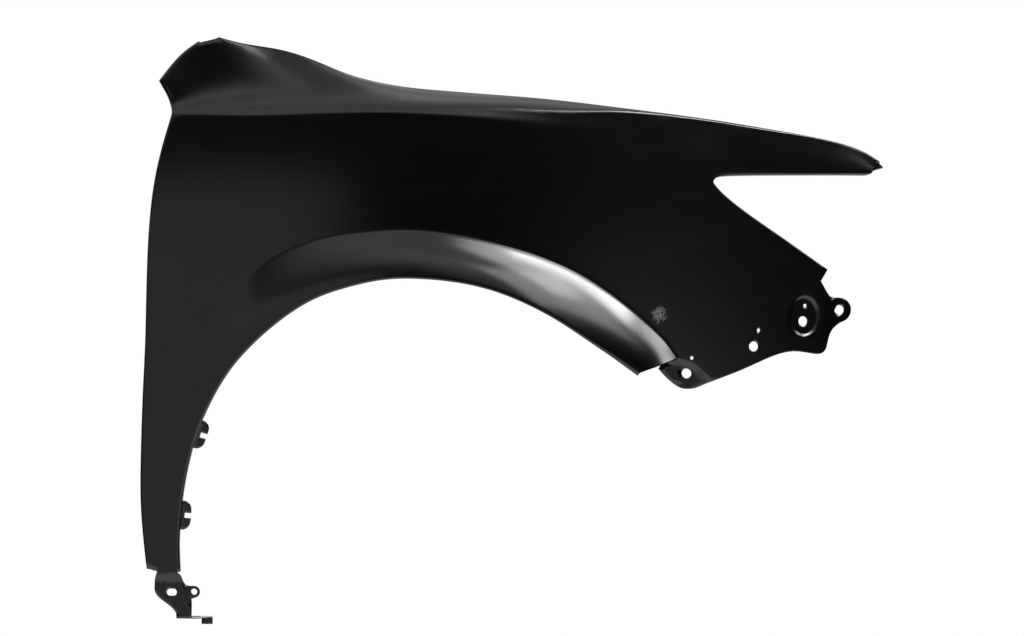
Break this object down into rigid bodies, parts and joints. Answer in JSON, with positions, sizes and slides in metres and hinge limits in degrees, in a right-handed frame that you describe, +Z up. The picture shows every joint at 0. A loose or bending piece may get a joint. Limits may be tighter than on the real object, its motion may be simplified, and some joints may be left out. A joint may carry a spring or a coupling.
{
  "type": "car fender",
  "caption": "Right-hand front fender pressed from one thin steel sheet, with a flared wheel arch, a stepped bolted ledge along the hood, a lamp notch and joggled bolt tabs.",
  "frame": {"origin": "underside of the second bolt pad of the hood ledge, 16 mm in front of its slot, where the pad sits on the body's upper rail", "axes": "+X to the front of the car, along the panel; +Y inboard, so the outer face looks along -Y; +Z up"},
  "size_m": [1.0259, 0.2403, 0.8075],
  "materials": {
    "black_primer": "satin black electro-coat primer, thin, dust-free, with the faint ripple of a dipped coat"
  },
  "bodies": {
    "root": {"fender_panel": "black_primer"}
  },
  "joints": []
}
